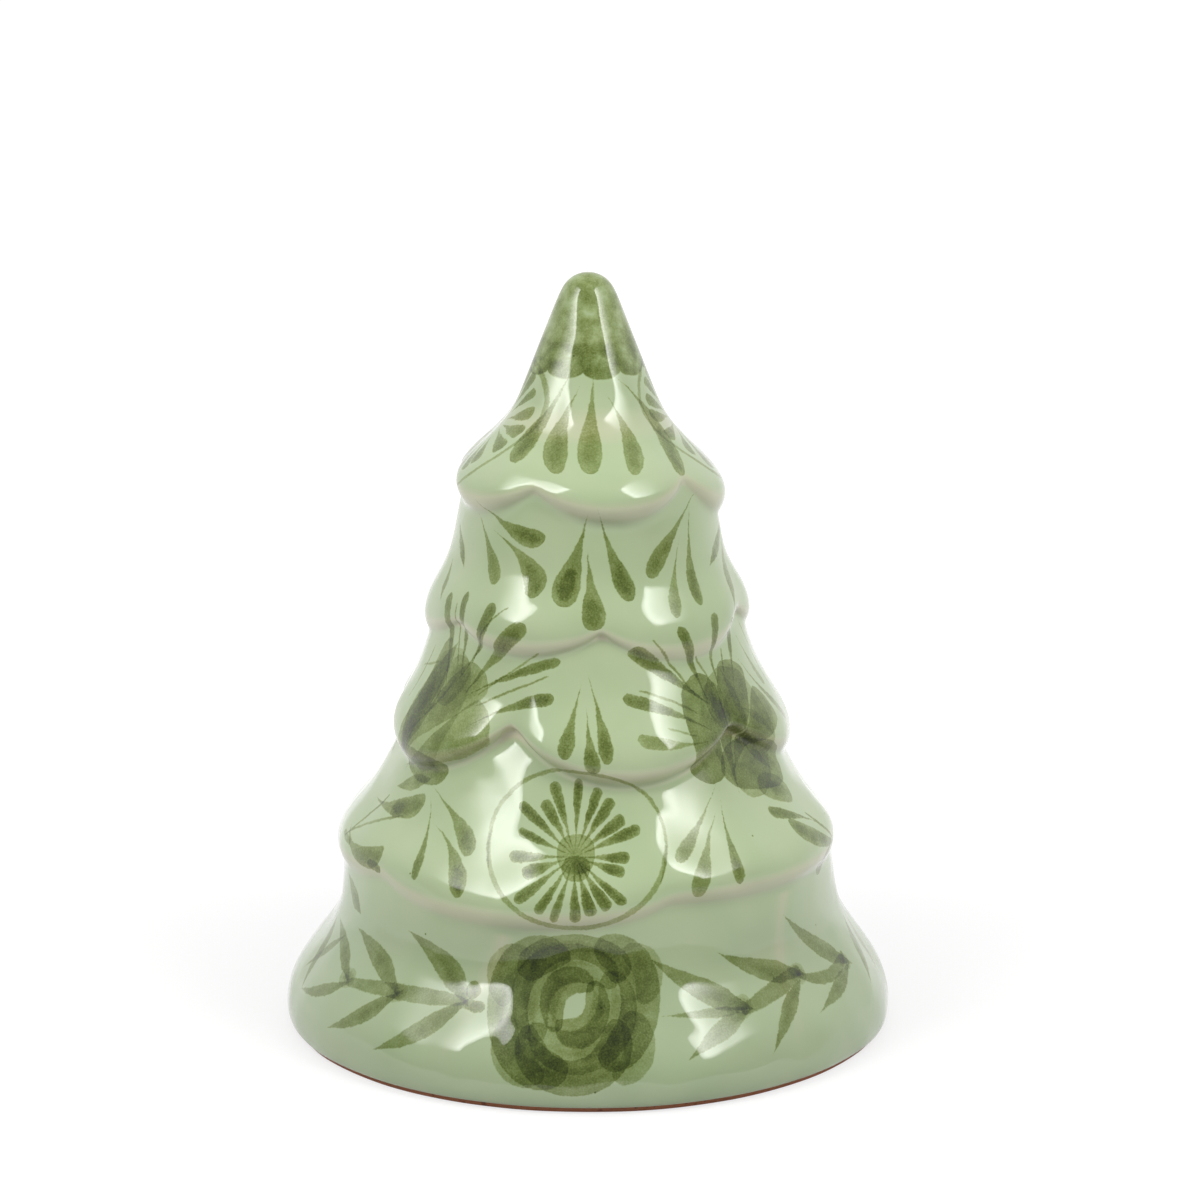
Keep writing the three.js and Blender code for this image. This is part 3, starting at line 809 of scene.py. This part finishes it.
# %% Places and sizes in the glaze, in millimetres
WASH_EDGE = 176.6
WASH_SCALLOP = 1.8
WASH_SCALLOP_DEGREES = 39.0
WASH_BAND_TOP = 182.4
SKIRT_TOP = 46.0
PINHOLE_SPACING = 11.0
PINHOLE_RADIUS = 0.35
WAVE_SIZE = 15.0
WAVE_HEIGHT = 1.15


def new_material(name):
    material = bpy.data.materials.new(name)
    material.use_nodes = True
    nodes = material.node_tree.nodes
    nodes.clear()
    shader = nodes.new("ShaderNodeBsdfPrincipled")
    output = nodes.new("ShaderNodeOutputMaterial")
    feed(output.inputs["Surface"], shader.outputs[0])
    return material, nodes, shader


def noise(nodes, vector, size, detail=1.0, output="Fac"):
    """Soft noise with blotches of a size in millimetres"""
    node = add_node(nodes, "ShaderNodeTexNoise", {
        "Vector": vector, "Scale": 1 / size, "Detail": detail})
    return Flow(nodes, node.outputs[output])


def group_node(nodes, tree, inputs):
    node = add_node(nodes, "ShaderNodeGroup", node_tree=tree)
    feed_all(node, inputs)
    return Flow(nodes, node.outputs[0])


def in_millimetres(nodes):
    """The place on the object, in millimetres from its origin"""
    place = add_node(nodes, "ShaderNodeVectorMath", {"Scale": 1 / MM}, operation="SCALE")
    feed(place.inputs[0], add_node(nodes, "ShaderNodeTexCoord").outputs["Object"])
    return place.outputs[0]


def rgb(nodes, *channels):
    named = dict(zip(("Red", "Green", "Blue"), channels))
    return add_node(nodes, "ShaderNodeCombineColor", named).outputs[0]


def bump(nodes, height, depth):
    """A surface that rises by up to a depth in millimetres"""
    return add_node(nodes, "ShaderNodeBump", {
        "Height": height, "Strength": 1.0, "Distance": depth * MM}).outputs[0]


# %% The surface of the figure in millimetres and degrees
RAGGED_SIZE = 3.0
RAGGED = 0.7


def on_the_figure(nodes):
    """Place, azimuth, radius and height, with the small shake of a hand-drawn edge"""
    place = in_millimetres(nodes)
    sway = noise(nodes, place, RAGGED_SIZE, 2.0, "Color")
    sway = vector_math(nodes, "SUBTRACT", sway, (0.5,) * 3)
    moved = vector_math(nodes, "ADD", place, vector_math(nodes, "MULTIPLY", sway, (RAGGED,) * 3))
    x, front, height = measured(nodes, moved, (0, 0, 0), (1, 0, 0), (0, -1, 0), (0, 0, 1))
    radius = (x * x + front * front).math("SQRT")
    azimuth = x.math("ARCTAN2", front) * (1 / DEGREE)
    return place, azimuth, radius, height


class Paint:
    """Adds strokes to one running total of pigment"""

    def __init__(self, nodes, azimuth, radius, height, shake):
        self.nodes = nodes
        self.azimuth, self.radius, self.height, self.shake = azimuth, radius, height, shake
        self.total = None
        self.count = 0

    def motif(self, azimuth, height):
        """The flat drawing plane of a motif, which is met again half a turn further on"""
        across = (self.azimuth - azimuth).math("WRAP", 90.0, -90.0) * (self.radius * DEGREE)
        return combine(self.nodes, across, self.height - height)

    def add(self, load):
        self.total = load if self.total is None else self.total + load
        self.count += 1

    def brush(self, kind, inputs, half_width, colour, core):
        inputs.update({
            "Edge": half_width / EDGE, "Pigment": colour, "Core": core, "Shake": self.shake})
        self.add(group_node(self.nodes, brushes[kind], inputs))

    def stroke(self, plane, kind, x, y, end_x, end_y, width, bow, colour, core):
        run = Vector((end_x - x, end_y - y, 0))
        half = width / 2
        self.brush(kind, {
            "Place": plane, "Start": (x, y, 0), "Along": run / run.length ** 2,
            "Across": Vector((-run.y, run.x, 0)) / (run.length * half), "Bend": bow * 4 / half,
        }, half, colour, core)

    def arc(self, plane, kind, centre, radii, angle, sweep, width, colour, core):
        half = width / 2
        place = group_node(self.nodes, arc_place, {
            "Place": plane, "Centre": (*centre, 0), "Across": (1 / radii[0], 0, 0),
            "Up": (0, 1 / radii[1], 0), "From": angle * DEGREE, "Sweep": sweep * DEGREE,
            "Half width": half / max(radii)})
        self.brush(kind, {"Place": place}, half, colour, core)

    def wheel(self, plane, centre, petals, hub, length, width, uneven, colour, core):
        place = group_node(self.nodes, wheel_place, {
            "Place": plane, "Centre": (*centre, 0), "Petals": petals, "Hub": hub,
            "Length": length, "Half width": width / 2, "Unevenness": uneven})
        self.brush("petal", {"Place": place}, width / 2, colour, core)


# %% The green glaze over the painting
glaze, nodes, shader = new_material("green glaze")
spot, azimuth, radius, height = on_the_figure(nodes)
shake = noise(nodes, spot, 0.7, 1.0) * 1.6 - 0.3
paint = Paint(nodes, azimuth, radius, height, shake)
for middle, up, marks in STROKES.values():
    plane = paint.motif(middle, up)
    for kind, strokes in marks.items():
        for stroke in strokes:
            paint.stroke(plane, kind, *stroke)
for middle, up, arcs in ARCS.values():
    plane = paint.motif(middle, up)
    for arc in arcs:
        paint.arc(plane, *arc)
for middle, up, *petals in WHEELS.values():
    paint.wheel(paint.motif(middle, up), *petals)
print("strokes:", paint.count, "nodes:", len(nodes))

# %% The wash on the tip, with a scalloped lower edge and a second, darker band over it
scallop = ((azimuth + 5.0) * (math.pi / WASH_SCALLOP_DEGREES)).math("SINE").math("ABSOLUTE") ** 0.6
wash = ((height - (scallop * -WASH_SCALLOP + WASH_EDGE)) * 2.5 + 0.5).share()
blotch = (noise(nodes, spot, 4.0, 2.0) - 0.5) * 2.2 + 0.5
band_top = noise(nodes, spot, 2.5) * 2.0 + WASH_BAND_TOP
band = ((band_top - height) * 1.4 + 0.5).share() * wash
wash_load = (wash * (blotch * 0.9 + 0.15).math("MAXIMUM", 0.1)
             + band * (blotch * 0.5 + 0.05).math("MAXIMUM", 0.0))

# %% Pigment: speckle where it was laid thin, blotches where it dried unevenly, and dark pinholes
grain = noise(nodes, spot, 0.45, 1.0)
drying = noise(nodes, spot, 4.0, 1.0)
density = (paint.total * (drying * 0.9 + 0.5) + wash_load) * (grain * 1.1 + 0.45)
holes = add_node(nodes, "ShaderNodeTexVoronoi", {"Vector": spot, "Scale": 1 / PINHOLE_SPACING})
nearest = Flow(nodes, holes.outputs["Distance"]) * PINHOLE_SPACING
density = density + ((PINHOLE_RADIUS - nearest) * 4.0).share() * 1.6

# %% The thickness of the glaze, and painted shade that darkens the skirt towards the foot
pool, thin_and_sheen = (
    Flow(nodes, add_node(nodes, "ShaderNodeAttribute", attribute_name=name).outputs["Fac"])
    for name in ("pool", "thin_and_sheen"))
mottle = noise(nodes, spot, 14.0, 2.0) * 0.5 - 0.25
gathered = (pool - 0.7).math("MAXIMUM", 0.0) * 0.8
run_off = (pool + 0.32).math("MINIMUM", 0.0) * 2.4
# The stored bands make the glaze paler: thinner glaze with painted reflection under the lips,
# painted highlight lines on the skirt
thickness = gathered + run_off + mottle - thin_and_sheen * 0.65 + 1.0
thickness = thickness.math("MAXIMUM", 0.1).math("MINIMUM", 3.0)
# How far down the skirt a place lies, which sets how much painted shade it gets
on_skirt = ((height - SKIRT_TOP) * -0.08).share()

# %% The colour of the layers together, and the glossy, slightly wavy surface
# Slip, glaze and pigment filter the light, and the skirt term adds painted shade, darker towards
# the foot
channels = [
    (thickness * math.log(glass) + density * math.log(pigment) + on_skirt * math.log(painted_shade)
     + math.log(slip)).math("EXPONENT")
    for slip, glass, pigment, painted_shade in zip(SLIP, GLAZE_PASSES, PIGMENT_PASSES, SKIRT_PAINTED_SHADE)]
swell = noise(nodes, spot, WAVE_SIZE, 0.0) + noise(nodes, spot, 6.0, 0.0) * 0.1
waves = bump(nodes, swell, WAVE_HEIGHT)
feed_all(shader, {
    "Base Color": rgb(nodes, *channels), "Roughness": grain * 0.15 + 0.4,
    "Specular IOR Level": 0.2, "Coat Weight": 1.0, "Coat Roughness": 0.025, "Coat IOR": 1.48,
    "Normal": waves, "Coat Normal": waves})
print("glaze nodes:", len(nodes))

# %% [markdown]
# ## Bare clay
#
# Fired red clay is matt and a little uneven: paler where the kiln was drier, darker in small
# clouds, and full of fine sand and grog that stands out as specks. It could be a single colour,
# but the foot is seen close up when the figure is turned over. Three sizes of noise make the
# clouds, the specks and the sandy surface.

# %% The bare clay
RED_CLAY = (0.43, 0.165, 0.082)
SAND_HEIGHT = 0.15

clay, nodes, shader = new_material("bare clay")
grit = in_millimetres(nodes)
clouds = noise(nodes, grit, 16.0, 3.0)
sand = noise(nodes, grit, 0.6, 2.0)
specks = ((noise(nodes, grit, 1.6, 0.0) - 0.68) * 9.0).share()
shade = clouds * 0.5 + sand * 0.3 + 0.6
tints = [shade * red_clay - specks * (red_clay * 0.45) for red_clay in RED_CLAY]
feed_all(shader, {
    "Base Color": rgb(nodes, *tints), "Roughness": sand * 0.2 + 0.75,
    "Normal": bump(nodes, sand, SAND_HEIGHT)})
print("clay nodes:", len(nodes))

# %% The glaze coat
WOBBLE = 0.9

glaze_coat = grow("glaze_skin", glaze, **{
    "Columns": 252, "Dome rows": 9, "Sheet rows": 21, "Roll rows": 9, "Coat": 1,
    "Coat thickness": GLAZE_THICKNESS, "Softening steps": 5, "End height": GLAZE_END_HEIGHT,
    "Wobble": WOBBLE})
close_and_face_out(glaze_coat)
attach(glaze_coat, "root")
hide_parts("glaze_coat")


# %% The clay body
UNDER_GLAZE = GLAZE_THICKNESS + GLAZE_GAP
SKIRT_STEPS = 8
CROWN_HOLLOW_HEIGHTS = (154.85, 170.4, 181.55)


def hollow_profile():
    """Radius and height of the hollow, from the foot up, in millimetres"""
    skirt = TIERS[LAST]
    top_wall = skirt["waist"] + skirt["draft"] * (TIERS[LAST - 1]["crease"] - SKIRT_FLARE[0])
    depth = UNDER_GLAZE + CLAY_WALL
    profile = [(FOOT_RADIUS - UNDER_GLAZE - FOOT_RING_WIDTH, 0.0)]
    for step in range(SKIRT_STEPS + 1):
        share = step / SKIRT_STEPS
        height = SKIRT_FLARE[1] + (SKIRT_FLARE[0] - SKIRT_FLARE[1]) * share
        ease = (1 + math.cos(math.pi * share)) / 2
        profile.append((top_wall + (skirt["lip"] - top_wall) * ease - depth, height))
    for number in range(LAST, 0, -1):
        profile.append((TIERS[number]["waist"] - depth, TIERS[number - 1]["crease"]))
    for height in CROWN_HOLLOW_HEIGHTS:
        outer = CROWN_START_RADIUS + TIERS[0]["draft"] * (CROWN_START_HEIGHT - height)
        profile.append((outer - depth, height))
    return profile + [(0.0, TREE_HEIGHT - SOLID_TIP)]


def hollow_out(piece):
    """Draws the foot ring and the hollow inside from the open lower rim, ring by ring"""
    work = bmesh.new()
    work.from_mesh(piece.data)
    rim = [tuple(edge.verts) for edge in work.edges if edge.is_boundary]
    for radius, height in hollow_profile():
        further = {}
        for point in dict.fromkeys(point for pair in rim for point in pair):
            flat = Vector((point.co.x, point.co.y, 0)).normalized() * radius * MM
            further[point] = work.verts.new((flat.x, flat.y, height * MM))
        for first, second in rim:
            face = work.faces.new((first, second, further[second], further[first]))
            face.smooth = True
        rim = [(further[first], further[second]) for first, second in rim]
    bmesh.ops.remove_doubles(work, verts=work.verts, dist=WELD * MM / 2)
    work.to_mesh(piece.data)
    work.free()


clay_body = grow("clay_shell", clay, **{
    "Columns": 180, "Dome rows": 6, "Sheet rows": 12, "Roll rows": 5,
    "Depth": UNDER_GLAZE, "Wobble": WOBBLE})
hollow_out(clay_body)
close_and_face_out(clay_body)
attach(clay_body, "root")
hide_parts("clay_body")

# %% [markdown]
# ## A white studio
#
# The figure stands on a white table, with one large soft light at each side of the camera. A glassy
# surface shows its surroundings, so the room is part of the picture: the table and the white wall
# behind the figure are mirrored as a pale haze under the lips, and the dim side of the room behind
# the camera leaves the green clear.
#
# The white of floor and room is what a camera or a mirror sees. It is kept apart from the light
# that falls on the figure by asking the Light Path node what kind of ray has arrived, so that the
# white can be white without washing the colours out.

# %% What the camera and mirrors see
def seen_by_eye(nodes):
    """One for rays from the camera and for rays that a glossy or clear surface sends on"""
    rays = add_node(nodes, "ShaderNodeLightPath").outputs
    camera_ray = Flow(nodes, rays["Is Camera Ray"])
    mirrored = Flow(nodes, rays["Is Glossy Ray"]).math("MAXIMUM", rays["Is Transmission Ray"])
    return camera_ray, camera_ray.math("MAXIMUM", mirrored)


# %% The white table: it throws back less light than it shows, and glows a little, more further off
WHITE = (1, 1, 1, 1)
TABLE_LIT = 0.42
TABLE_SEEN = 0.3
TABLE_GLOW = 0.715
TABLE_GLOW_FAR = 0.905

floor_mesh = bpy.data.meshes.new("floor")
floor_mesh.from_pydata([(-6, -4, 0), (6, -4, 0), (6, 8, 0), (-6, 8, 0)], [], [(0, 1, 2, 3)])
floor = new_object("floor", floor_mesh)
floor_finish, nodes, shader = new_material("white table")
eye_ray = seen_by_eye(nodes)[1]
tone = eye_ray * (TABLE_SEEN - TABLE_LIT) + TABLE_LIT
away = vector_math(nodes, "DISTANCE", add_node(nodes, "ShaderNodeTexCoord").outputs["Object"],
                   (0, 0, 0), "Value")
far = ((away - FOOT_RADIUS * MM) * 4.0).share()
feed_all(shader, {
    "Base Color": rgb(nodes, tone, tone, tone), "Roughness": 0.9, "Specular IOR Level": 0.0,
    "Emission Color": WHITE,
    "Emission Strength": (far * (TABLE_GLOW_FAR - TABLE_GLOW) + TABLE_GLOW) * eye_ray})
floor_mesh.materials.append(floor_finish)

# %% The room: white behind the figure, dim behind the camera
LIGHT_FROM_ALL_SIDES = 0.12
LIGHT_FROM_ABOVE = 0.58
ROOM_BEHIND_CAMERA = 0.2

world = bpy.data.worlds.new("studio")
bpy.context.scene.world = world
world.use_nodes = True
nodes = world.node_tree.nodes
nodes.clear()
camera_ray, eye_ray = seen_by_eye(nodes)
direction = add_node(nodes, "ShaderNodeTexCoord").outputs["Generated"]
backwards = vector_math(nodes, "DOT_PRODUCT", direction, (0, 1, 0), "Value")
wall = (backwards * 1.6 + 0.5).share() * (1.0 - ROOM_BEHIND_CAMERA) + ROOM_BEHIND_CAMERA
seen = add_node(nodes, "ShaderNodeBackground", {
    "Color": WHITE, "Strength": wall.math("MAXIMUM", camera_ray)})
upwards = vector_math(nodes, "DOT_PRODUCT", direction, (0, 0, 1), "Value").math("MAXIMUM", 0.0)
light = add_node(nodes, "ShaderNodeBackground", {
    "Color": WHITE, "Strength": upwards * LIGHT_FROM_ABOVE + LIGHT_FROM_ALL_SIDES})
mix = add_node(nodes, "ShaderNodeMixShader", {0: eye_ray, 1: light.outputs[0], 2: seen.outputs[0]})
add_node(nodes, "ShaderNodeOutputWorld", {"Surface": mix.outputs[0]})


# %% [markdown]
# Each lamp is a square soft box, brightest close to its edge near the camera and fading outwards,
# as when its lamp head is turned. That is why the reflections on the glaze have one crisp side and
# one soft side. The fade is a formula on the lamp's own face, from 0 at one edge to 1 at the
# other.

# %% The two soft boxes
LAMP_AZIMUTH = 68.0
LAMP_ELEVATION = 41.0
LAMP_DISTANCE = 1.3
LAMP_SIZE = (0.85, 0.8)
LAMP_POWER = 12.0
LAMP_PEAK = 2.8
MIDDLE = Vector((0, 0, 0.1))


def turn_to(item, target):
    item.rotation_euler = (target - item.location).to_track_quat("-Z", "Y").to_euler()


def soft_box(name, side):
    """A lamp at one side, -1 for left and 1 for right, turned towards the middle of the figure"""
    light = bpy.data.lights.new(name, "AREA")
    light.shape = "RECTANGLE"
    light.size, light.size_y = LAMP_SIZE
    light.energy = LAMP_POWER
    light.use_nodes = True
    nodes = light.node_tree.nodes
    face = add_node(nodes, "ShaderNodeNewGeometry").outputs["Parametric"]
    across = vector_math(nodes, "DOT_PRODUCT", face, (1, 0, 0), "Value")
    upward = vector_math(nodes, "DOT_PRODUCT", face, (0, 1, 0), "Value")
    near = 1.0 - (across - (0.5 - 0.5 * side)).math("ABSOLUTE")
    ends = (upward * (1.0 - upward) * 9.0).share()
    crisp_side = (near * -8.0 + 8.3).share()
    feed(nodes["Emission"].inputs["Strength"], near ** 2.5 * crisp_side * ends * LAMP_PEAK)
    lamp = new_object(name, light)
    flat = LAMP_DISTANCE * math.cos(LAMP_ELEVATION * DEGREE)
    lamp.location = MIDDLE + Vector((
        side * flat * math.sin(LAMP_AZIMUTH * DEGREE), -flat * math.cos(LAMP_AZIMUTH * DEGREE),
        LAMP_DISTANCE * math.sin(LAMP_ELEVATION * DEGREE)))
    turn_to(lamp, MIDDLE)


soft_box("left soft box", -1)
soft_box("right soft box", 1)

# %% The camera, as the photo's was once its place and lens were fitted to the outline
CAMERA_PLACE = (0, -1.1, 0.385)
LOOKED_AT = Vector((0, 0, 0.085))

camera = bpy.data.cameras.new("photo view")
camera.lens = 129.9
camera.sensor_width = 36
camera.shift_x = 0.010
camera.shift_y = 0.087
eye = new_object("photo view", camera)
eye.location = CAMERA_PLACE
turn_to(eye, LOOKED_AT)
bpy.context.scene.camera = eye
bpy.context.scene.view_settings.view_transform = "Standard"
